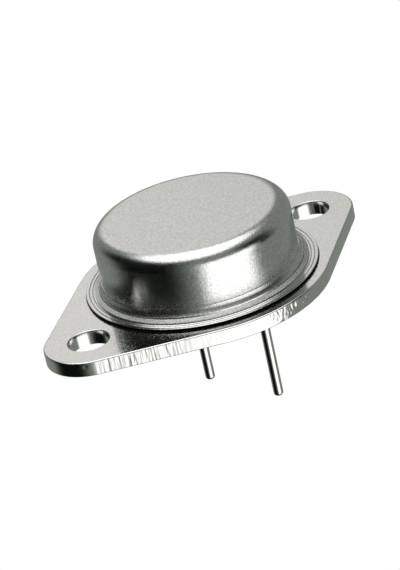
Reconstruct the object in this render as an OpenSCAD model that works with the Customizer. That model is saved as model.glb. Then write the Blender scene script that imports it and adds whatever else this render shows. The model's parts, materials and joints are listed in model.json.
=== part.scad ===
// Hermetic two-lead power transistor in a TO-3 (TO-204AA) metal package.
// Frame in millimetres: the origin lies on the flange's underside, midway between the two
// mounting holes. +X runs along the holes toward the one nearer the leads, +Z toward the cap.
// The rim, the platform and the flange's width follow the cap's diameter.

/* [Flange] */
// Distance between the centres of the mounting holes
hole_spacing = 30.15; // [29:0.05:37]
// Diameter of a mounting hole
hole_d = 4.09; // [3:0.01:5]
// Radius rolled onto the upper edge of a mounting hole
hole_rim_r = 0.12; // [0.02:0.01:0.3]
// Thickness of the flange
flange_t = 1.5; // [1:0.05:3]
// Margin of the flange outside the platform, across its middle
flange_margin = 1.2; // [0.5:0.05:4]
// Radius of the flange's two ends
end_r = 4.65; // [3.5:0.05:6]
// Distance that the centre of each end's arc lies inside its hole's centre
end_inset = 0.2; // [0:0.01:0.5]

/* [Weld platform] */
// Margin of the raised platform outside the cap's rim
platform_margin = 0.9; // [0.8:0.05:2]
// Height of the platform above the flange
platform_h = 0.3; // [0.25:0.01:0.8]
// Thickness of the lip around the platform
lip_t = 0.09; // [0.06:0.01:0.2]
// Depth of the relief groove under the lip
relief_depth = 0.35; // [0.1:0.01:0.6]
// Chamfer on the lip's upper edge
lip_chamfer = 0.04; // [0.01:0.01:0.05]
// Distance of the inner coined ring line from the rim
ring_line_inner = 0.2; // [0.15:0.01:0.3]
// Distance of the outer coined ring line from the rim
ring_line_outer = 0.55; // [0.45:0.01:0.65]
// Width of a coined ring line
ring_line_w = 0.13; // [0.05:0.01:0.14]
// Depth of a coined ring line
ring_line_depth = 0.05; // [0.02:0.01:0.09]

/* [Cap] */
// Outer diameter of the cap's wall
cap_d = 19.9; // [16.5:0.1:24]
// Height of the cap's top above the flange's underside
cap_top = 8.35; // [7:0.05:11]
// Thickness of the cap's sheet
cap_sheet_t = 0.4; // [0.2:0.05:0.5]
// Outer radius of the drawn corner around the top
cap_corner_r = 1.55; // [1:0.05:2.5]
// Width of the welded rim outside the wall
rim_w = 0.9; // [0.8:0.01:1.2]
// Thickness of the rim at its outer edge
rim_edge_t = 0.15; // [0.05:0.01:0.2]
// Slope of the rim's top, in degrees
rim_slope = 18; // [10:1:22]
// Height of the crease in the wall above the platform
crease_h = 1.1; // [1.05:0.01:1.4]
// Outward step of the wall at the crease
crease_step = 0.06; // [0.02:0.01:0.08]
// Height of the flare under the crease
flare_h = 0.67; // [0.6:0.01:0.7]
// How far the flare turns outward from upright, in degrees
flare_angle = 48; // [40:1:50]
// Width of the groove line between the flare and the rim
groove_w = 0.08; // [0.04:0.01:0.1]

/* [Leads] */
// Diameter of a lead
pin_d = 1; // [0.8:0.01:1.2]
// Length of the base lead below the flange
base_pin_length = 12.1; // [8:0.1:16]
// Length of the emitter lead below the flange
emitter_pin_length = 13.2; // [8:0.1:16]
// Distance between the two leads
pin_spacing = 10.7; // [10.6:0.01:11.2]
// Offset of the row of leads from the middle of the flange
pin_offset = 2.1; // [1.4:0.01:2.2]
// Rounding of a lead's tip
pin_tip_round = 0.3; // [0.05:0.01:0.35]
// Diameter of the head that the bond wires are bonded to
pin_head_d = 1.8; // [1.4:0.05:2.2]
// Thickness of that head
pin_head_t = 0.4; // [0.2:0.05:0.8]
// Growth of the shank's diameter from the flange's underside to the head, left by upsetting
pin_swell = 0.06; // [0.02:0.01:0.15]
// Diameter of a glass seal
glass_d = 3; // [2.5:0.05:3.4]
// Depth of the glass below the metal at each of its ends
glass_recess = 0.15; // [0.05:0.01:0.3]

/* [Chip and heat spreader] */
// Diameter of the heat spreader
spreader_d = 8.8; // [7.5:0.1:9.2]
// Thickness of the heat spreader
spreader_t = 1.2; // [0.5:0.05:2]
// Distance of the heat spreader's centre from the middle, away from the leads
spreader_offset = 2; // [1.8:0.1:3]
// Thickness of the braze under the heat spreader
braze_t = 0.08; // [0.03:0.01:0.15]
// Side of the square chip
chip_side = 4.6; // [3.6:0.1:5]
// Thickness of the chip
chip_t = 0.26; // [0.15:0.01:0.4]
// Thickness of the solder under the chip
solder_t = 0.06; // [0.03:0.01:0.12]
// Margin of the solder around the chip
solder_margin = 0.08; // [0:0.01:0.15]
// Width of the coating's ring
coating_w = 1.8; // [1.4:0.1:2]
// Height of the coating above the heat spreader
coating_h = 0.62; // [0.5:0.01:0.7]

/* [Bond wires] */
// Diameter of a bond wire
wire_d = 0.38; // [0.2:0.01:0.45]
// Height of a wire's loop above its two ends
wire_loop_h = 1.4; // [1:0.05:2]
// Distance between the two emitter wires
emitter_wire_pitch = 0.8; // [0.7:0.05:0.9]
// Length of a wire's flattened foot
wire_foot_length = 0.7; // [0.4:0.05:0.8]
// Thickness of a wire's flattened foot
wire_foot_t = 0.14; // [0.08:0.01:0.2]
// Distance of the bonding pads from the chip's centre along X
pad_x = 0.7; // [0.4:0.1:1]
// Distance of the bonding pads from the chip's centre along Y
pad_y = 0.9; // [0.6:0.1:1.1]

/* [Hidden] */
$fn = 96;
past = 1; // how far a cut runs beyond the metal it opens

cap_r = cap_d / 2;
rim_r = cap_r + rim_w;
platform_r = rim_r + platform_margin;
flange_r = platform_r + flange_margin;
end_x = hole_spacing / 2 - end_inset;
platform_top = flange_t + platform_h;

// The flare is an arc that starts upright at the crease. A groove line parts it from the rim.
crease_z = platform_top + crease_h;
flare_r = flare_h / sin(flare_angle);
flare_end_r = cap_r + crease_step + flare_r * (1 - cos(flare_angle));
flare_end_z = crease_z - flare_h;
rim_start_r = flare_end_r + groove_w + 0.02;
rim_start_z = platform_top + rim_edge_t + (rim_r - rim_start_r) * tan(rim_slope);

spreader_z = platform_top + braze_t;
solder_z = spreader_z + spreader_t;
chip_z = solder_z + solder_t;
chip_top = chip_z + chip_t;
// The leads' heads stand level with the chip, so that a wire's two ends lie at one height.
pin_top = chip_top;

base_pin_at = [pin_offset, -pin_spacing / 2];
emitter_pin_at = [pin_offset, pin_spacing / 2];
chip_at = [-spreader_offset, 0];

// A point of the tangent line that joins the end's arc to the middle's arc.
tangent_angle = acos((flange_r - end_r) / end_x);
function on_arc(centre_x, r, angle) = [centre_x + r * cos(angle), r * sin(angle)];

// ---- Flange --------------------------------------------------------------------------------

module flange_outline() {
    circle(r = flange_r, $fn = 180);
    for (side = [0, 180])
        rotate(side) {
            translate([end_x, 0]) circle(r = end_r);
            polygon([
                [0, 0],
                on_arc(0, flange_r, -tangent_angle),
                on_arc(end_x, end_r, -tangent_angle),
                [end_x, 0],
                on_arc(end_x, end_r, tangent_angle),
                on_arc(0, flange_r, tangent_angle)
            ]);
        }
}

// Half section of the platform, with the relief groove under its lip.
module platform_section() {
    r = platform_r;
    polygon([
        [0, 0], [r - relief_depth, 0], [r - relief_depth, platform_h - lip_t],
        [r, platform_h - lip_t], [r, platform_h - lip_chamfer],
        [r - lip_chamfer, platform_h], [0, platform_h]
    ]);
}

// V-shaped line pressed into the platform's top.
module ring_line(r) {
    rotate_extrude($fn = 180)
        translate([r, platform_top])
            polygon([[-ring_line_w / 2, 0], [0, -ring_line_depth], [ring_line_w / 2, 0]]);
}

// Mounting hole with a rolled upper edge.
module mounting_hole() {
    r = hole_d / 2;
    translate([0, 0, -past]) cylinder(r = r, h = flange_t + 2 * past);
    translate([0, 0, flange_t - hole_rim_r])
        rotate_extrude()
            difference() {
                translate([r / 2, 0]) square([r / 2 + hole_rim_r, hole_rim_r]);
                translate([r + hole_rim_r, 0]) circle(r = hole_rim_r);
            }
}

module header() {
    color([0.78, 0.78, 0.76])
        difference() {
            union() {
                linear_extrude(flange_t) flange_outline();
                translate([0, 0, flange_t]) rotate_extrude($fn = 180) platform_section();
            }
            for (side = [-1, 1])
                translate([side * hole_spacing / 2, 0, 0]) mounting_hole();
            for (at = [base_pin_at, emitter_pin_at])
                translate([at[0], at[1], -past]) cylinder(d = glass_d, h = platform_top + 2 * past);
            ring_line(rim_r + ring_line_inner);
            ring_line(rim_r + ring_line_outer);
        }
}

// ---- Cap -----------------------------------------------------------------------------------

// Half section of a can of one radius, from the platform to its top, with a rounded corner.
module can_section(r, top, corner_r) {
    translate([0, platform_top]) {
        square([r - corner_r, top - platform_top]);
        square([r, top - platform_top - corner_r]);
    }
    translate([r - corner_r, top - corner_r]) circle(r = corner_r);
}

// Half section of the flare and the rim outside the wall.
module foot_section() {
    inner_r = cap_r - cap_sheet_t / 2;
    difference() {
        polygon([
            [inner_r, platform_top], [rim_r, platform_top], [rim_r, platform_top + rim_edge_t],
            [rim_start_r, rim_start_z], [rim_start_r - groove_w / 2, rim_start_z - groove_w],
            [rim_start_r - groove_w, flare_end_z], [flare_end_r, flare_end_z],
            [flare_end_r, crease_z], [inner_r, crease_z]
        ]);
        intersection() {
            translate([cap_r + crease_step + flare_r, crease_z]) circle(r = flare_r);
            translate([cap_r, flare_end_z]) square([rim_w, 2 * flare_h]);
        }
    }
}

module cap() {
    color([0.80, 0.79, 0.77])
        rotate_extrude($fn = 180)
            difference() {
                union() {
                    can_section(cap_r, cap_top, cap_corner_r);
                    foot_section();
                }
                can_section(cap_r - cap_sheet_t, cap_top - cap_sheet_t, cap_corner_r - cap_sheet_t);
                translate([0, platform_top - past]) square([cap_r - cap_sheet_t, 2 * past]);
            }
}

// ---- Leads and their seals -----------------------------------------------------------------

// Lead on its own axis: a rounded tip, a straight wall up to the flange's underside, a shank that
// swells slightly through the glass, and the upset head.
module lead_shape(length) {
    r = pin_d / 2;
    shank_h = pin_top - pin_head_t;
    translate([0, 0, -length])
        rotate_extrude() {
            translate([r - pin_tip_round, pin_tip_round])
                intersection() {
                    circle(r = pin_tip_round);
                    translate([0, -pin_tip_round]) square(pin_tip_round);
                }
            square([r - pin_tip_round, pin_tip_round]);
        }
    translate([0, 0, pin_tip_round - length]) cylinder(r = r, h = length - pin_tip_round);
    cylinder(r1 = r, r2 = r + pin_swell / 2, h = shank_h);
    translate([0, 0, shank_h]) cylinder(d = pin_head_d, h = pin_head_t);
}

module lead_pin(at, length) {
    color([0.82, 0.81, 0.78]) translate([at[0], at[1], 0]) lead_shape(length);
}

module base_pin() lead_pin(base_pin_at, base_pin_length);
module emitter_pin() lead_pin(emitter_pin_at, emitter_pin_length);

module glass_seal(at, length) {
    color([0.20, 0.26, 0.24])
        translate([at[0], at[1], 0])
            difference() {
                translate([0, 0, glass_recess])
                    cylinder(d = glass_d, h = platform_top - 2 * glass_recess);
                lead_shape(length);
            }
}

module base_pin_glass() glass_seal(base_pin_at, base_pin_length);
module emitter_pin_glass() glass_seal(emitter_pin_at, emitter_pin_length);

// ---- Chip and heat spreader ----------------------------------------------------------------

module spreader_braze() {
    color([0.85, 0.74, 0.48])
        translate([chip_at[0], chip_at[1], platform_top]) cylinder(d = spreader_d, h = braze_t);
}

module heat_spreader() {
    color([0.80, 0.46, 0.30])
        translate([chip_at[0], chip_at[1], spreader_z]) cylinder(d = spreader_d, h = spreader_t);
}

// Square slab centred over the heat spreader.
module slab(side, z, t) {
    translate([chip_at[0] - side / 2, chip_at[1] - side / 2, z]) cube([side, side, t]);
}

module chip_solder() {
    color([0.62, 0.62, 0.64]) slab(chip_side + 2 * solder_margin, solder_z, solder_t);
}

module chip() {
    color([0.28, 0.29, 0.33]) slab(chip_side, chip_z, chip_t);
}

// Silicone ring that domes over the chip's edge and leaves its pads bare.
module chip_coating() {
    dome_r = (pow(coating_w / 2, 2) + pow(coating_h, 2)) / (2 * coating_h);
    middle_r = chip_side / 2 + coating_w / 2 - 0.25;
    color([0.90, 0.89, 0.84])
        difference() {
            translate([chip_at[0], chip_at[1], solder_z])
                rotate_extrude()
                    intersection() {
                        translate([middle_r, coating_h - dome_r]) circle(r = dome_r);
                        translate([middle_r - coating_w, 0]) square([2 * coating_w, 2 * coating_h]);
                    }
            slab(chip_side + 2 * solder_margin, solder_z - past, solder_t + past);
            slab(chip_side, solder_z - past, chip_t + solder_t + past);
        }
}

// ---- Bond wires ----------------------------------------------------------------------------

// Wire looped from a pad on the chip to a lead's head, with a flattened foot at each end.
module bond_wire(from, to) {
    span = norm(to - from);
    loop_r = (pow(span / 2, 2) + pow(wire_loop_h, 2)) / (2 * wire_loop_h);
    sweep = asin(span / 2 / loop_r);
    color([0.86, 0.86, 0.87])
        translate([from[0], from[1], chip_top])
            rotate(atan2(to[1] - from[1], to[0] - from[0]))
                difference() {
                    union() {
                        translate([span / 2, 0, wire_loop_h - loop_r])
                            rotate([90, 0, 0])
                                rotate(90 - sweep - 5)
                                    rotate_extrude(angle = 2 * sweep + 10)
                                        translate([loop_r, 0]) circle(d = wire_d, $fn = 32);
                        for (x = [0, span])
                            translate([x - wire_foot_length / 2, -wire_d * 0.6, 0])
                                cube([wire_foot_length, wire_d * 1.2, wire_foot_t]);
                    }
                    translate([-span, -wire_d, -2 * loop_r]) cube([3 * span, 2 * wire_d, 2 * loop_r]);
                }
}

module emitter_wire(side) {
    shift = side * emitter_wire_pitch / 2;
    bond_wire(chip_at + [pad_x + shift, pad_y], emitter_pin_at + [shift, 0]);
}

module emitter_wire_1() emitter_wire(-1);
module emitter_wire_2() emitter_wire(1);
module base_wire() bond_wire(chip_at + [pad_x, -pad_y], base_pin_at);

// ---- Assembly ------------------------------------------------------------------------------

header();
cap();
base_pin();
emitter_pin();
base_pin_glass();
emitter_pin_glass();
spreader_braze();
heat_spreader();
chip_solder();
chip();
chip_coating();
emitter_wire_1();
emitter_wire_2();
base_wire();
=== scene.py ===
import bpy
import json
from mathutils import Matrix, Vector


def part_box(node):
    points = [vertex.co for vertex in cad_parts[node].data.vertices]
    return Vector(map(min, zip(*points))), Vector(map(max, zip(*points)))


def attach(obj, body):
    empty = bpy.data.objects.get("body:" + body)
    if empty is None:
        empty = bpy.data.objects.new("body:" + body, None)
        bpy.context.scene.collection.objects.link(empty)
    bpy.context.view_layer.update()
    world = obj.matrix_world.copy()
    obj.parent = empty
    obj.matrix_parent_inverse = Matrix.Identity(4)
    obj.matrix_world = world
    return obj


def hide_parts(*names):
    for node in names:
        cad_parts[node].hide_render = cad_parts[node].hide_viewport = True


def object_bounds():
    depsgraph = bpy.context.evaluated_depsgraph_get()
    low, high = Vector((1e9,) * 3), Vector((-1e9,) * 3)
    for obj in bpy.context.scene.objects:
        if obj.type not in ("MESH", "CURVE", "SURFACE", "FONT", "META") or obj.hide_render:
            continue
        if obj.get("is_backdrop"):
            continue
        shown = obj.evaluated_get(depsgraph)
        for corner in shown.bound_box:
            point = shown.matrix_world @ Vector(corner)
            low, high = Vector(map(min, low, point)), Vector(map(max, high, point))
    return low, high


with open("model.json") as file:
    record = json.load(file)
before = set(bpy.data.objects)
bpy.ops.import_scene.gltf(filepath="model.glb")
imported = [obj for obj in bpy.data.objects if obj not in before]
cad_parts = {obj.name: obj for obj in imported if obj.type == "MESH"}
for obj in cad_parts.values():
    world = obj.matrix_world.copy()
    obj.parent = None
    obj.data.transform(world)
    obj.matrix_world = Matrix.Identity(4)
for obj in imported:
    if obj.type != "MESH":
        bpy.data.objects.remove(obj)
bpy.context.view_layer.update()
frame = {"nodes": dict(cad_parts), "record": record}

import json
import math

import bmesh
import bpy
from bpy.props import FloatProperty, FloatVectorProperty, PointerProperty, StringProperty
from mathutils import Matrix, Vector, noise

bl_info = {
    "name": "Power transistor in a metal can",
    "version": (1, 1, 0),
    "blender": (4, 5, 0),
    "location": "View3D > Sidebar > Transistor",
    "description": "Finishes the pieces of a two-lead power transistor and sets up its studio",
    "category": "Object",
}

MM = 0.001
# Steps of a quarter turn that round an edge, and the angle above which an edge stays sharp.
ROUNDING = [math.pi / 2 * i / 4 for i in (1, 2, 3, 4)]
SHARP_ANGLE = math.radians(32)
HOLE_POINTS, PLATFORM_POINTS, GLASS_POINTS = 128, 360, 96
EDGE_LEVELS = 9
FLAT_TOLERANCE = 1e-6


# ---- Helpers ---------------------------------------------------------------------------------

def linear(hex_colour, strength=1.0):
    """Turns an sRGB hex colour such as "C9C7C2" into linear red, green, blue and alpha."""
    channels = [int(hex_colour[i:i + 2], 16) / 255 for i in (0, 2, 4)]
    channels = [c / 12.92 if c <= 0.04045 else ((c + 0.055) / 1.055) ** 2.4 for c in channels]
    return (*[strength * c for c in channels], 1.0)


def add_node(tree, kind, links=None, **settings):
    """Adds a node, gives it its settings, and links or fills the inputs that links names."""
    node = tree.nodes.new(kind)
    for name, value in settings.items():
        setattr(node, name, value)
    for name, source in (links or {}).items():
        if isinstance(source, bpy.types.NodeSocket):
            tree.links.new(source, node.inputs[name])
        else:
            node.inputs[name].default_value = source
    return node


def new_material(name, **uniform):
    """Makes a node material with the uniform values set on its shader's own sockets."""
    material = bpy.data.materials.new(name)
    material.use_nodes = True
    tree = material.node_tree
    tree.nodes.clear()
    shader = add_node(tree, "ShaderNodeBsdfPrincipled")
    for name, value in uniform.items():
        shader.inputs[name.replace("_", " ")].default_value = value
    add_node(tree, "ShaderNodeOutputMaterial", {"Surface": shader.outputs["BSDF"]})
    place = add_node(tree, "ShaderNodeTexCoord").outputs["Object"]
    return material, tree, shader, place


def grain(tree, place, size_mm, low, high, detail=2.0, spread=0.2):
    """Noise with features of one size, running from low to high."""
    speckle = add_node(tree, "ShaderNodeTexNoise",
                       {"Vector": place, "Scale": 1 / (size_mm * MM), "Detail": detail})
    return add_node(tree, "ShaderNodeMapRange",
                    {"Value": speckle.outputs["Fac"], "From Min": 0.5 - spread,
                     "From Max": 0.5 + spread, "To Min": low, "To Max": high}).outputs["Result"]


def two_tone(tree, shader, factor, first, second):
    """Runs the base colour between two hex colours."""
    mix = add_node(tree, "ShaderNodeMix", {0: factor, 6: linear(first), 7: linear(second)},
                   data_type="RGBA")
    tree.links.new(mix.outputs[2], shader.inputs["Base Color"])
    return mix


def relief(tree, shader, height, depth_mm, under=None):
    """Raises the surface by a height pattern, on top of an earlier relief if there is one."""
    links = {"Height": height, "Distance": depth_mm * MM}
    if under is not None:
        links["Normal"] = under
    bump = add_node(tree, "ShaderNodeBump", links)
    tree.links.new(bump.outputs["Normal"], shader.inputs["Normal"])
    return bump.outputs["Normal"]


def stretched(tree, place, x, y, z):
    """Coordinates for a pattern with x, y and z features a millimetre, drawn out into lines."""
    return add_node(tree, "ShaderNodeVectorMath", {0: place, 1: (x / MM, y / MM, z / MM)},
                    operation="MULTIPLY").outputs["Vector"]


def zone(tree, value, start_mm, end_mm):
    """Smooth mask that is 0 before start_mm and 1 after end_mm."""
    return add_node(tree, "ShaderNodeMapRange",
                    {"Value": value, "From Min": start_mm * MM, "From Max": end_mm * MM},
                    interpolation_type="SMOOTHSTEP").outputs["Result"]


def dress(node_names, material):
    """Gives a material to CAD nodes."""
    for node_name in node_names:
        slots = frame["nodes"][node_name].data.materials
        slots.clear()
        slots.append(material)


def sizes():
    return bpy.context.scene.transistor_sizes


def looks():
    return bpy.context.scene.transistor_looks


def studio():
    return bpy.context.scene.transistor_studio


# ---- Sizes and colours -----------------------------------------------------------------------

def millimetres(name, description, default):
    """A size in millimetres. The CAMERA unit is the one that is shown in millimetres."""
    return FloatProperty(name=name, description=description, default=default, min=0.0,
                         precision=3, unit="CAMERA")


def hex_colour(name, description, default):
    """An sRGB colour of six hex digits."""
    return StringProperty(name=name, description=description, default=default, maxlen=6)


class TransistorSizes(bpy.types.PropertyGroup):
    """Sizes of the header, in millimetres."""
    end_r: millimetres("End radius", "Radius of the flange's two ends", 4.65)
    flange_t: millimetres("Flange thickness", "Thickness of the flange", 1.5)
    upper_edge_r: millimetres("Upper edge radius", "Radius rolled onto the upper edge", 0.15)
    lower_edge_r: millimetres("Lower edge radius", "Radius of the lower edge", 0.08)
    hole_rim_r: millimetres("Hole rim radius", "Radius rolled onto a hole's upper edge", 0.12)
    platform_r: millimetres("Platform radius", "Radius of the weld platform", 11.75)
    relief_r: millimetres("Relief radius", "Radius of the wall behind the relief groove", 11.4)
    lip_t: millimetres("Lip thickness", "Thickness of the lip around the platform", 0.09)
    lip_chamfer: millimetres("Lip chamfer", "Chamfer on the lip's upper edge", 0.04)
    ring_inner_r: millimetres("Inner ring line", "Radius of the inner coined line", 11.05)
    ring_outer_r: millimetres("Outer ring line", "Radius of the outer coined line", 11.4)
    ring_w: millimetres("Ring line width", "Width of a coined line", 0.13)
    ring_depth: millimetres("Ring line depth", "Depth of a coined line", 0.05)
    glass_r: millimetres("Glass hole radius", "Radius of the holes for the glass seals", 1.5)
    edge_step: millimetres("Edge step", "Distance between the points along the edge", 0.05)
    shear_depth: millimetres("Shear mark depth", "Depth of the punch's lines", 0.022)
    burr_depth: millimetres("Nick depth", "Depth of the nicks and torn places", 0.05)


class TransistorLooks(bpy.types.PropertyGroup):
    """Colours of the finishes, as sRGB hex values."""
    cap_dark: hex_colour("Cap, dull", "Duller patches of the cap's nickel", "BCBCBA")
    cap_light: hex_colour("Cap, bright", "Brighter patches of the cap's nickel", "DADAD8")
    header_dark: hex_colour("Header, dull", "Duller patches of the header's nickel", "CBCBC8")
    header_light: hex_colour("Header, bright", "Brighter patches of that nickel", "DCDBD8")
    # Painted shade: this dark colour stands for the shadow in the groove under the platform's lip
    # and on the flange just outside it.
    groove_shade_colour: hex_colour("Shade", "Shadow in the groove under the platform's lip", "20231F")
    lead: hex_colour("Lead", "Nickel on the leads", "D2D1CD")
    lead_dull: hex_colour("Lead, dull", "Duller streaks on the leads", "C4C4C1")
    glass: hex_colour("Glass", "Dark green sealing glass", "1F2B25")
    glass_light: hex_colour("Glass, light", "Lighter clouds in the sealing glass", "2C3A33")
    copper: hex_colour("Copper", "Bare copper of the heat spreader", "D88D66")
    copper_dull: hex_colour("Copper, tarnished", "Tarnished patches of the copper", "B9714D")
    braze: hex_colour("Braze", "Silver braze", "D8C58F")
    braze_dull: hex_colour("Braze, dull", "Duller skin on the braze", "B8A470")
    solder: hex_colour("Solder", "Soft lead and tin solder", "A8A9AD")
    solder_dull: hex_colour("Solder, dull", "Duller skin on the solder", "8B8C91")
    silicon: hex_colour("Silicon", "Passivated silicon", "474A54")
    pad: hex_colour("Bond metal", "Aluminium on the chip's bonding pads", "B9BBC0")
    coating: hex_colour("Coating", "Cured silicone", "E4E1D4")
    coating_dull: hex_colour("Coating, dull", "Duller clouds in the silicone", "D6D1BF")
    wire: hex_colour("Wire", "Drawn aluminium wire", "DCDDE0")
    wire_dull: hex_colour("Wire, dull", "Duller streaks on the wire", "C6C8CC")


class TransistorStudio(bpy.types.PropertyGroup):
    """Camera, floor and the cards around the object."""
    camera_azimuth: FloatProperty(name="Camera azimuth", description="Turn from the front",
                                  default=math.radians(-36.546), subtype="ANGLE")
    camera_elevation: FloatProperty(name="Camera elevation", description="Height of the view",
                                    default=math.radians(26.158), subtype="ANGLE")
    camera_roll: FloatProperty(name="Camera roll", description="Turn about the line of sight",
                               default=math.radians(12.627), subtype="ANGLE")
    camera_distance: FloatProperty(name="Camera distance", description="Distance from the aim",
                                   default=0.262475, unit="LENGTH")
    camera_aim: FloatVectorProperty(name="Camera aim", description="Point at the centre",
                                    default=(-0.000317, 0.000379, 0.000235), size=3,
                                    subtype="XYZ", precision=6)
    lens: FloatProperty(name="Lens", description="Focal length", default=166.423,
                        unit="CAMERA")
    softbox: FloatProperty(name="Softboxes", description="Strength of the softboxes",
                           default=1.9, min=0.0, subtype="UNSIGNED")
    floor_radius: FloatProperty(name="Floor radius", description="Radius of the floor",
                                default=3.0, unit="LENGTH")


# ---- Header ----------------------------------------------------------------------------------

def flange_edge(plan):
    """Points and outward normals around the flange, one each edge_step or so."""
    low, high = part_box("header")
    middle_r = high[1] / MM
    end_x = high[0] / MM - plan.end_r
    tangent = math.acos((middle_r - plan.end_r) / end_x)
    side = end_x * math.sin(tangent)
    edge = []
    for centre, radius, start, sweep in (
            (end_x, plan.end_r, -tangent, 2 * tangent),
            (0, middle_r, tangent, math.pi - 2 * tangent),
            (-end_x, plan.end_r, math.pi - tangent, 2 * tangent),
            (0, middle_r, math.pi + tangent, math.pi - 2 * tangent)):
        count = math.ceil(radius * sweep / plan.edge_step)
        for i in range(count + 1):
            angle = start + sweep * i / count
            out = Vector((math.cos(angle), math.sin(angle), 0))
            edge.append((Vector((centre, 0, 0)) + out * radius, out))
        count = math.ceil(side / plan.edge_step)
        along = Vector((-out.y, out.x, 0)) * side
        for i in range(1, count):
            edge.append((edge[-1][0] + along / count, out))
    return edge


def band(value, start, end, soft):
    """1 between start and end, falling to 0 over soft on both sides."""
    rise = min(1.0, max(0.0, (value - start) / soft + 0.5))
    fall = min(1.0, max(0.0, (end - value) / soft + 0.5))
    return rise * fall


NICKS = (
    # x and y of a nick, its height, half width and half height in millimetres
    (-18.9, -2.4, 1.3, 0.16, 0.12), (-18.3, -3.2, 1.05, 0.2, 0.1), (-12.6, -7.6, 0.3, 0.12, 0.3),
    (-10.4, -8.9, 1.4, 0.2, 0.1), (-3.4, -12.6, 0.12, 0.3, 0.12), (-1.2, -12.9, 0.1, 0.25, 0.12),
    (1.8, -12.9, 0.08, 0.3, 0.1), (3.3, -12.6, 0.12, 0.22, 0.14), (7.9, -10.6, 0.8, 0.5, 0.1),
    (9.6, -9.4, 0.5, 0.4, 0.12), (12.1, -7.7, 1.0, 0.5, 0.08), (13.4, -6.8, 0.4, 0.6, 0.08),
    (6.4, 11.4, 0.9, 0.3, 0.2), (-8.7, 10.0, 0.2, 0.4, 0.1), (-16.4, 4.2, 1.2, 0.2, 0.3),
)


def edge_wear(point, height, plan):
    """How far the sheared edge lies inside its outline, in millimetres."""
    x, y = point.x, point.y
    line = Vector((x, y, height * 0.12))
    lines = 0.55 * noise.noise(line * 3.1) + 0.45 * noise.noise(line * 7.3 + Vector((7, 3, 1)))
    near = band(y, -14, -1.5, 1.0)
    strong = near * band(x, -17.0, -10.5, 1.5) + (1 - near) * band(abs(x), 8.0, 17.0, 3.0)
    depth = plan.shear_depth * (0.12 + 0.88 * min(1.0, strong)) * (0.5 + lines)
    chain = near * band(x, -2.6, 6.5, 1.0) * band(height, 0.45, 1.3, 0.3)
    tear = noise.noise(Vector((x * 4.3, y * 4.3, height * 3.6)))
    depth += chain * plan.burr_depth * 2.0 * max(0.0, tear - 0.02)
    torn = near * band(x, 4.5, 17.5, 2.0) + (1 - near) * band(x, -13, -4, 3.0)
    patch = noise.noise(Vector((x * 1.3, y * 1.3, height * 4.2)))
    depth += torn * plan.shear_depth * 0.7 * (0.6 + patch)
    for nick_x, nick_y, nick_z, half_w, half_h in NICKS:
        away = ((x - nick_x) ** 2 + (y - nick_y) ** 2) / half_w ** 2
        away += ((height - nick_z) / half_h) ** 2
        if away < 9:
            depth += plan.burr_depth * math.exp(-away)
    return max(0.0, depth)


def add_loop(bm, points):
    """Adds one closed loop of vertices, from points in millimetres."""
    return [bm.verts.new(Vector(point) * MM) for point in points]


def skin(bm, first, second):
    """Joins two loops of equal length with faces."""
    count = len(first)
    for i in range(count):
        j = (i + 1) % count
        bm.faces.new((first[i], first[j], second[j], second[i]))


def circle(x, y, z, r, count):
    """Points of a level circle, in millimetres."""
    return [(x + r * math.cos(2 * math.pi * i / count),
             y + r * math.sin(2 * math.pi * i / count), z) for i in range(count)]


def fill_flat(bm, loops):
    """Fills the flat area between closed loops, the first of them the outer one."""
    edges = []
    for loop in loops:
        for i, vert in enumerate(loop):
            other = loop[(i + 1) % len(loop)]
            edges.append(bm.edges.get((vert, other)) or bm.edges.new((vert, other)))
    made = bmesh.ops.triangle_fill(bm, use_beauty=True, use_dissolve=False, edges=edges)
    return [item for item in made["geom"] if isinstance(item, bmesh.types.BMFace)]


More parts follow.
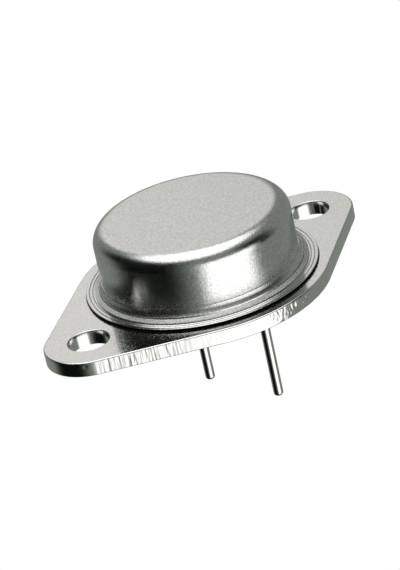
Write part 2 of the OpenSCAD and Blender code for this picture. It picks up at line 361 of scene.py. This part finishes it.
def header_mesh(plan):
    """The whole header: rounded and sheared edge, holes, weld platform with its grooved lip."""
    thick = plan.flange_t
    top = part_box("header")[1][2] / MM
    holes = [mount["pos_m"] for mount in frame["record"]["mounts"] if mount["kind"] == "bore"]
    hole_r = next(mount["dims"]["r_mm"] for mount in frame["record"]["mounts"]
                  if mount["kind"] == "bore")
    leads = [mount["pos_m"] for mount in frame["record"]["mounts"] if mount["kind"] == "pin"]
    bm = bmesh.new()

    levels = [(plan.lower_edge_r * (1 - math.sin(a)), plan.lower_edge_r * (1 - math.cos(a)))
              for a in (0, math.pi / 6, math.pi / 3)]
    wall = thick - plan.lower_edge_r - plan.upper_edge_r
    levels += [(0, plan.lower_edge_r + wall * i / EDGE_LEVELS) for i in range(EDGE_LEVELS + 1)]
    levels += [(plan.upper_edge_r * (1 - math.cos(a)),
                thick - plan.upper_edge_r * (1 - math.sin(a))) for a in ROUNDING]
    edge = flange_edge(plan)
    rings = []
    for inset, z in levels:
        flat = z < FLAT_TOLERANCE or z > thick - FLAT_TOLERANCE
        rings.append(add_loop(bm, [
            point - out * (inset + (0 if flat else edge_wear(point, z, plan))) + Vector((0, 0, z))
            for point, out in edge]))
    for lower, upper in zip(rings, rings[1:]):
        skin(bm, lower, upper)

    flange_top, underside, platform_top = [rings[-1]], [rings[0]], []
    for x, y, _ in holes:
        x, y = x / MM, y / MM
        loops = [add_loop(bm, circle(x, y, z, hole_r, HOLE_POINTS))
                 for z in (0, (thick - plan.hole_rim_r) / 2, thick - plan.hole_rim_r)]
        for a in ROUNDING:
            loops.append(add_loop(bm, circle(
                x, y, thick - plan.hole_rim_r * (1 - math.sin(a)),
                hole_r + plan.hole_rim_r * (1 - math.cos(a)), HOLE_POINTS)))
        for lower, upper in zip(loops, loops[1:]):
            skin(bm, lower, upper)
        underside.append(loops[0])
        flange_top.append(loops[-1])

    half = plan.ring_w / 2
    profile = [(plan.relief_r, thick), (plan.relief_r, top - plan.lip_t),
               (plan.platform_r, top - plan.lip_t), (plan.platform_r, top - plan.lip_chamfer),
               (plan.platform_r - plan.lip_chamfer, top)]
    for r in (plan.ring_outer_r, plan.ring_inner_r):
        profile += [(r + half, top), (r, top - plan.ring_depth), (r - half, top)]
    loops = [add_loop(bm, circle(0, 0, z, r, PLATFORM_POINTS)) for r, z in profile]
    for lower, upper in zip(loops, loops[1:]):
        skin(bm, lower, upper)
    flange_top.append(loops[0])
    platform_top.append(loops[-1])

    for x, y, _ in leads:
        loops = [add_loop(bm, circle(x / MM, y / MM, z, plan.glass_r, GLASS_POINTS))
                 for z in (0, top)]
        skin(bm, *loops)
        underside.append(loops[0])
        platform_top.append(loops[1])

    flat = fill_flat(bm, flange_top) + fill_flat(bm, underside) + fill_flat(bm, platform_top)
    bmesh.ops.recalc_face_normals(bm, faces=bm.faces)
    for face in bm.faces:
        face.smooth = True
        corner = face.verts[0].co / MM
        face.material_index = int(corner.xy.length > plan.platform_r + 0.01)
    for face in flat:
        face.smooth = False
        face.material_index = 0
    for seam in bm.edges:
        if seam.is_manifold and seam.calc_face_angle(0) > SHARP_ANGLE:
            seam.smooth = False
    mesh = bpy.data.meshes.new("header_plate")
    bm.to_mesh(mesh)
    bm.free()
    return mesh


def nickel_flat(look):
    """Nickel plate on the coined flats of the header, smooth enough to mirror softly."""
    material, tree, shader, place = new_material("nickel_plate_coined", Metallic=1.0)
    axes = add_node(tree, "ShaderNodeSeparateXYZ", {"Vector": place})
    flat = stretched(tree, place, MM, MM, 0)
    radius = add_node(tree, "ShaderNodeVectorMath", {0: flat}, operation="LENGTH").outputs["Value"]
    # Cloudy patches a few tenths of a millimetre across break up the plain grey of the flange.
    cloud = grain(tree, place, 0.22, 0.0, 1.0, 4.0)
    base = two_tone(tree, shader, cloud, look.header_dark, look.header_light)
    # Painted shade darkens the groove under the platform's lip and a thin strip of the flange just
    # outside the platform, where shadow falls, so a black line runs around the platform.
    inside = zone(tree, radius, 11.86, 11.78)
    outside = zone(tree, radius, 11.2, 11.3)
    below = zone(tree, axes.outputs["Z"], 1.735, 1.7)
    groove_shade = add_node(tree, "ShaderNodeMath", {0: inside, 1: outside},
                    operation="MULTIPLY").outputs[0]
    groove_shade = add_node(tree, "ShaderNodeMath", {0: groove_shade, 1: below}, operation="MULTIPLY").outputs[0]
    # Mixes the painted shade colour into the base colour inside the groove mask.
    groove_shaded = add_node(tree, "ShaderNodeMix", {0: groove_shade, 6: base.outputs[2], 7: linear(look.groove_shade_colour)},
                     data_type="RGBA")
    tree.links.new(groove_shaded.outputs[2], shader.inputs["Base Color"])
    # The coined top is nearly smooth, and its shine varies a little from place to place.
    shine = grain(tree, place, 0.5, 0.07, 0.13, 3.0)
    rough = add_node(tree, "ShaderNodeMath", {0: groove_shade, 1: 0.5, 2: shine}, operation="MULTIPLY_ADD")
    tree.links.new(rough.outputs[0], shader.inputs["Roughness"])
    # Small pits catch the light as bright specks where the flange looks dark.
    pit = add_node(tree, "ShaderNodeTexNoise",
                   {"Vector": place, "Scale": 1 / (0.13 * MM), "Detail": 1.0}).outputs["Fac"]
    pit = add_node(tree, "ShaderNodeMapRange",
                   {"Value": pit, "From Min": 0.56, "From Max": 0.7}).outputs["Result"]
    first = relief(tree, shader, pit, 0.0045)
    # Fine grain of the blasted tool, drawn at 0.08 mm because the real one is too fine to show.
    fine = grain(tree, place, 0.08, 0.0, 1.0, 1.0)
    relief(tree, shader, fine, 0.0007, first)
    return material


def nickel_cut(look):
    """Nickel over the sheared edge and the punched holes, brighter than the flats."""
    material, tree, shader, place = new_material("nickel_plate_sheared", Metallic=1.0)
    # Lines left by the punch run from face to face and give the edge its streaks.
    streak = add_node(tree, "ShaderNodeTexNoise",
                      {"Vector": stretched(tree, place, 5, 5, 0.3), "Scale": 1.0,
                       "Detail": 3.0}).outputs["Fac"]
    two_tone(tree, shader, streak, look.header_dark, look.header_light)
    tree.links.new(grain(tree, place, 0.4, 0.11, 0.2, 3.0), shader.inputs["Roughness"])
    relief(tree, shader, streak, 0.0025)
    return material


class BuildHeader(bpy.types.Operator):
    """Builds the header with its rounded, sheared edge in place of the plain solid"""
    bl_idname = "transistor.header"
    bl_label = "Header"

    def execute(self, context):
        piece = bpy.data.objects.new("header_plate", header_mesh(sizes()))
        context.scene.collection.objects.link(piece)
        flats = nickel_flat(looks())
        piece.data.materials.append(flats)
        piece.data.materials.append(nickel_cut(looks()))
        dress(["header"], flats)
        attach(piece, "root")
        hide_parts("header")
        return {"FINISHED"}


# ---- Cap -------------------------------------------------------------------------------------

def nickel_cap(look):
    """Satin nickel on a deep-drawn steel cap."""
    material, tree, shader, place = new_material("nickel_plate_drawn", Metallic=1.0)
    axes = add_node(tree, "ShaderNodeSeparateXYZ", {"Vector": place})
    # Faint clouds keep the wide top from looking like a single flat grey.
    cloud = grain(tree, place, 0.24, 0.0, 1.0, 5.0)
    two_tone(tree, shader, cloud, look.cap_dark, look.cap_light)
    # The sheet is scuffed duller low on the wall, where it was ironed against the die.
    scuff = zone(tree, axes.outputs["Z"], 4.9, 2.9)
    shine = grain(tree, place, 0.3, 0.15, 0.21, 3.0)
    shine = add_node(tree, "ShaderNodeMath", {0: scuff, 1: 0.09, 2: shine},
                     operation="MULTIPLY_ADD").outputs[0]
    tree.links.new(shine, shader.inputs["Roughness"])
    # The die leaves lines around the wall, strongest near the foot where the metal is ironed.
    lines = add_node(tree, "ShaderNodeTexNoise",
                     {"Vector": stretched(tree, place, 0.06, 0.06, 5.2), "Scale": 1.0,
                      "Detail": 2.0})
    foot = zone(tree, axes.outputs["Z"], 5.2, 2.6)
    upright = zone(tree, axes.outputs["Z"], 7.4, 6.2)
    drawn = add_node(tree, "ShaderNodeMath", {0: foot, 1: 0.8, 2: 0.2}, operation="MULTIPLY_ADD")
    drawn = add_node(tree, "ShaderNodeMath", {0: drawn.outputs[0], 1: upright},
                     operation="MULTIPLY")
    drawn = add_node(tree, "ShaderNodeMath", {0: drawn.outputs[0], 1: lines.outputs["Fac"]},
                     operation="MULTIPLY")
    first = relief(tree, shader, drawn.outputs[0], 0.006)
    # Fine orange-peel grain of the drawn sheet, which gives the satin look.
    peel = grain(tree, place, 0.12, 0.0, 1.0, 2.0)
    relief(tree, shader, peel, 0.0045, first)
    return material


class FinishCap(bpy.types.Operator):
    """Gives the cap its satin nickel"""
    bl_idname = "transistor.cap"
    bl_label = "Cap"

    def execute(self, context):
        dress(["cap"], nickel_cap(looks()))
        return {"FINISHED"}


# ---- Leads and seals -------------------------------------------------------------------------

def nickel_lead(look):
    """Bright nickel on drawn wire."""
    material, tree, shader, place = new_material("nickel_plate_wire", Metallic=1.0)
    streak = add_node(tree, "ShaderNodeTexNoise",
                      {"Vector": stretched(tree, place, 6, 6, 0.25), "Scale": 1.0,
                       "Detail": 3.0}).outputs["Fac"]
    two_tone(tree, shader, streak, look.lead, look.lead_dull)
    tree.links.new(grain(tree, place, 0.4, 0.09, 0.16), shader.inputs["Roughness"])
    # Drawing lines run along the lead and make the edges of its reflections slightly ragged.
    relief(tree, shader, streak, 0.004)
    return material


def sealing_glass(look):
    """Dark green glass fired into the header around a lead."""
    material, tree, shader, place = new_material(
        "sealing_glass_fired", IOR=1.52, Transmission_Weight=0.15)
    cloud = grain(tree, place, 0.5, 0.0, 1.0, 3.0)
    two_tone(tree, shader, cloud, look.glass, look.glass_light)
    tree.links.new(grain(tree, place, 0.6, 0.04, 0.1), shader.inputs["Roughness"])
    # Small gas bubbles just under the skin of the fired glass.
    bubble = add_node(tree, "ShaderNodeTexVoronoi", {"Vector": place, "Scale": 1 / (0.22 * MM)})
    height = add_node(tree, "ShaderNodeMapRange",
                      {"Value": bubble.outputs["Distance"], "From Min": 0.05, "From Max": 0.25})
    relief(tree, shader, height.outputs["Result"], 0.006)
    return material


class FinishLeads(bpy.types.Operator):
    """Gives the leads and their glass seals their finishes"""
    bl_idname = "transistor.leads"
    bl_label = "Leads and glass seals"

    def execute(self, context):
        dress(["base_pin", "emitter_pin"], nickel_lead(looks()))
        dress(["base_pin_glass", "emitter_pin_glass"], sealing_glass(looks()))
        return {"FINISHED"}


# ---- Working parts under the cap -------------------------------------------------------------

def copper_spreader(look):
    """Bare copper, stamped and annealed."""
    material, tree, shader, place = new_material("copper_stamped", Metallic=1.0)
    tarnish = grain(tree, place, 0.7, 0.0, 1.0, 4.0)
    two_tone(tree, shader, tarnish, look.copper, look.copper_dull)
    tree.links.new(grain(tree, place, 0.3, 0.24, 0.36), shader.inputs["Roughness"])
    # Annealed copper shows its coarse crystals as faint facets.
    crystal = add_node(tree, "ShaderNodeTexVoronoi", {"Vector": place, "Scale": 1 / (0.4 * MM)})
    relief(tree, shader, crystal.outputs["Distance"], 0.004)
    return material


def cast_metal(name, bright, dull, size_mm, rough_low, rough_high, depth_mm):
    """Metal that has flowed and frozen, with a ripple and a duller skin in places."""
    material, tree, shader, place = new_material(name, Metallic=1.0)
    skin_tone = grain(tree, place, size_mm, 0.0, 1.0, 4.0)
    two_tone(tree, shader, skin_tone, bright, dull)
    tree.links.new(grain(tree, place, size_mm * 0.6, rough_low, rough_high),
                   shader.inputs["Roughness"])
    relief(tree, shader, grain(tree, place, size_mm * 0.5, 0.0, 1.0), depth_mm)
    return material


def silicon_chip(look):
    """Passivated silicon with aluminium bonding pads and finger lines."""
    material, tree, shader, place = new_material("silicon_passivated", Metallic=0.85)
    axes = add_node(tree, "ShaderNodeSeparateXYZ", {"Vector": place})
    # Interleaved emitter and base fingers, 0.35 mm apart, run across the chip's top.
    finger = add_node(tree, "ShaderNodeMath", {0: axes.outputs["Y"], 1: 0.35 * MM},
                      operation="PINGPONG").outputs[0]
    metal = zone(tree, finger, 0.16, 0.2)
    two_tone(tree, shader, metal, look.silicon, look.pad)
    tree.links.new(grain(tree, place, 0.2, 0.08, 0.2), shader.inputs["Roughness"])
    relief(tree, shader, metal, 0.002)
    return material


def silicone_coating(look):
    """Cured white silicone, poured around the chip's edge."""
    material, tree, shader, place = new_material(
        "silicone_cured", IOR=1.41, Subsurface_Weight=0.25, Subsurface_Scale=0.4 * MM)
    # Light enters it a little, which softens its edges and gives it a waxy look.
    shader.inputs["Subsurface Radius"].default_value = (1.0, 0.8, 0.6)
    two_tone(tree, shader, grain(tree, place, 0.6, 0.0, 1.0, 3.0), look.coating, look.coating_dull)
    tree.links.new(grain(tree, place, 0.4, 0.22, 0.34), shader.inputs["Roughness"])
    relief(tree, shader, grain(tree, place, 0.5, 0.0, 1.0), 0.012)
    return material


def drawn_wire(look):
    """Drawn aluminium wire, flattened where the bonding wedge pressed it."""
    material, tree, shader, place = new_material("aluminium_wire_drawn", Metallic=1.0)
    # Dull streaks and a soft sheen set it apart from the brighter nickel around it.
    streak = grain(tree, place, 0.08, 0.0, 1.0, 3.0)
    two_tone(tree, shader, streak, look.wire, look.wire_dull)
    tree.links.new(grain(tree, place, 0.15, 0.2, 0.32), shader.inputs["Roughness"])
    relief(tree, shader, streak, 0.002)
    return material


class FinishInside(bpy.types.Operator):
    """Gives the chip, heat spreader, wires and coating under the cap their finishes"""
    bl_idname = "transistor.inside"
    bl_label = "Chip, heat spreader and wires"

    def execute(self, context):
        look = looks()
        dress(["heat_spreader"], copper_spreader(look))
        dress(["spreader_braze"],
              cast_metal("silver_braze_flowed", look.braze, look.braze_dull,
                         0.5, 0.22, 0.36, 0.008))
        dress(["chip_solder"],
              cast_metal("soft_solder_flowed", look.solder, look.solder_dull,
                         0.3, 0.18, 0.34, 0.006))
        dress(["chip"], silicon_chip(look))
        dress(["chip_coating"], silicone_coating(look))
        dress(["emitter_wire_1", "emitter_wire_2", "base_wire"], drawn_wire(look))
        return {"FINISHED"}


# ---- Stage -----------------------------------------------------------------------------------

# Each card: colour, strength, azimuth of its middle, half width and softness, then its lower
# and upper limits of elevation with their softness, all angles in degrees. None leaves that
# side open. Azimuth 0 is behind (+Y), 90 is the left (-X), 180 is the front.
CARDS = (
    ("grey card behind", "F2F1EE", 1.08, 330, 11, 11, 12, 16, 75, 8),
    ("black flag on the left", "0E1210", 1.0, 81, 39, 18, None, 8, 46, 12),
    ("second flag on the left", "151A17", 1.0, 52, 36, 16, 8, 12, 46, 12),
    ("dark card on the right", "272E29", 1.0, 213, 20, 12, -11, 7, 44, 12),
    ("low softbox in front", "FFFFFF", None, 175.3, 29.7, 9, None, 8, 8, 8),
    ("softbox overhead", "FFFFFF", None, None, 0, 0, 55, 8, None, 8),
    ("scrim high on the right", "868C86", 1.0, 235, 36, 16, 38, 5, 57, 7),
    ("dark paper below", "1E231F", 1.0, None, 0, 0, None, 8, -50, 9),
)
ROOM_GREY = "8C928C"


def studio_world(plan):
    """Surrounds the object with the cards, and shows plain white behind it."""
    world = bpy.data.worlds.new("studio")
    bpy.context.scene.world = world
    world.use_nodes = True
    tree = world.node_tree
    tree.nodes.clear()
    ray = add_node(tree, "ShaderNodeTexCoord").outputs["Generated"]
    ray = add_node(tree, "ShaderNodeVectorMath", {0: ray}, operation="NORMALIZE").outputs["Vector"]
    height = add_node(tree, "ShaderNodeSeparateXYZ", {"Vector": ray}).outputs["Z"]
    level = add_node(tree, "ShaderNodeVectorMath", {0: ray, 1: (1, 1, 0)}, operation="MULTIPLY")
    level = add_node(tree, "ShaderNodeVectorMath", {0: level.outputs["Vector"]},
                     operation="NORMALIZE").outputs["Vector"]

    def step(value, start, end):
        return add_node(tree, "ShaderNodeMapRange",
                        {"Value": value, "From Min": start, "From Max": end},
                        interpolation_type="SMOOTHSTEP").outputs["Result"]

    def sine(degrees):
        return math.sin(math.radians(degrees))

    def cosine(degrees):
        return math.cos(math.radians(min(180, max(0, degrees))))

    colour = linear(ROOM_GREY)
    for (_, shade, strength, azimuth, half, soft, low, low_soft, high, high_soft) in CARDS:
        edges = []
        if azimuth is not None:
            middle = (-sine(azimuth), math.cos(math.radians(azimuth)), 0)
            facing = add_node(tree, "ShaderNodeVectorMath", {0: level, 1: middle},
                              operation="DOT_PRODUCT").outputs["Value"]
            edges.append(step(facing, cosine(half + soft), cosine(half - soft)))
        if low is not None:
            edges.append(step(height, sine(low - low_soft), sine(low + low_soft)))
        if high is not None:
            edges.append(step(height, sine(high + high_soft), sine(high - high_soft)))
        mask = edges[0]
        for edge in edges[1:]:
            mask = add_node(tree, "ShaderNodeMath", {0: mask, 1: edge},
                            operation="MULTIPLY").outputs[0]
        strength = plan.softbox if strength is None else strength
        colour = add_node(tree, "ShaderNodeMix", {0: mask, 6: colour, 7: linear(shade, strength)},
                          data_type="RGBA").outputs[2]
    light = add_node(tree, "ShaderNodeBackground", {"Color": colour})
    paper = add_node(tree, "ShaderNodeBackground", {"Color": (1, 1, 1, 1)})
    seen = add_node(tree, "ShaderNodeLightPath").outputs["Is Camera Ray"]
    mixed = add_node(tree, "ShaderNodeMixShader",
                     {0: seen, 1: light.outputs[0], 2: paper.outputs[0]})
    add_node(tree, "ShaderNodeOutputWorld", {"Surface": mixed.outputs[0]})


def place_camera(plan):
    """Puts the camera on a line of sight given by its turn, height, roll and distance."""
    out = Vector((math.sin(plan.camera_azimuth) * math.cos(plan.camera_elevation),
                  -math.cos(plan.camera_azimuth) * math.cos(plan.camera_elevation),
                  math.sin(plan.camera_elevation)))
    data = bpy.data.cameras.new("camera")
    data.lens = plan.lens
    data.sensor_width = 36
    data.clip_start = 0.01
    camera = bpy.data.objects.new("camera", data)
    bpy.context.scene.collection.objects.link(camera)
    camera.matrix_world = (
        Matrix.Translation(Vector(plan.camera_aim) + out * plan.camera_distance)
        @ out.to_track_quat("Z", "Y").to_matrix().to_4x4()
        @ Matrix.Rotation(-plan.camera_roll, 4, "Z"))
    bpy.context.scene.camera = camera


def lay_floor(plan):
    """Lays evenly lit white paper under the tip of the longer lead."""
    bm = bmesh.new()
    bmesh.ops.create_circle(bm, cap_ends=True, segments=64, radius=plan.floor_radius)
    mesh = bpy.data.meshes.new("floor")
    bm.to_mesh(mesh)
    bm.free()
    floor = bpy.data.objects.new("floor", mesh)
    bpy.context.scene.collection.objects.link(floor)
    floor.location.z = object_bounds()[0][2]
    floor.visible_glossy = False
    material = bpy.data.materials.new("floor_paper_lit")
    material.use_nodes = True
    tree = material.node_tree
    tree.nodes.clear()
    glow = add_node(tree, "ShaderNodeEmission", {"Color": (1, 1, 1, 1)})
    add_node(tree, "ShaderNodeOutputMaterial", {"Surface": glow.outputs[0]})
    mesh.materials.append(material)
    floor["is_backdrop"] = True


class SetStage(bpy.types.Operator):
    """Sets up the cards, the camera and the pale floor"""
    bl_idname = "transistor.stage"
    bl_label = "Studio"

    def execute(self, context):
        studio_world(studio())
        place_camera(studio())
        lay_floor(studio())
        context.scene.view_settings.view_transform = "Standard"
        return {"FINISHED"}


# ---- Panel -----------------------------------------------------------------------------------

OPERATORS = (BuildHeader, FinishCap, FinishLeads, FinishInside, SetStage)


class TransistorPanel(bpy.types.Panel):
    """Lists the build steps and the sizes, colours and studio settings"""
    bl_idname = "VIEW3D_PT_transistor"
    bl_label = "Transistor"
    bl_space_type = "VIEW_3D"
    bl_region_type = "UI"
    bl_category = "Transistor"

    def draw(self, context):
        for operator in OPERATORS:
            self.layout.operator(operator.bl_idname)
        for group in (sizes(), looks(), studio()):
            box = self.layout.box()
            for name in group.__annotations__:
                box.prop(group, name)


GROUPS = {
    "transistor_sizes": TransistorSizes,
    "transistor_looks": TransistorLooks,
    "transistor_studio": TransistorStudio,
}


def register():
    for cls in (*GROUPS.values(), *OPERATORS, TransistorPanel):
        bpy.utils.register_class(cls)
    for name, group in GROUPS.items():
        setattr(bpy.types.Scene, name, PointerProperty(type=group))


def unregister():
    for name in GROUPS:
        delattr(bpy.types.Scene, name)
    for cls in reversed((*GROUPS.values(), *OPERATORS, TransistorPanel)):
        bpy.utils.unregister_class(cls)


def main():
    register()
    bpy.ops.transistor.header()
    bpy.ops.transistor.cap()
    bpy.ops.transistor.leads()
    bpy.ops.transistor.inside()
    bpy.ops.transistor.stage()


if __name__ == "__main__":
    main()
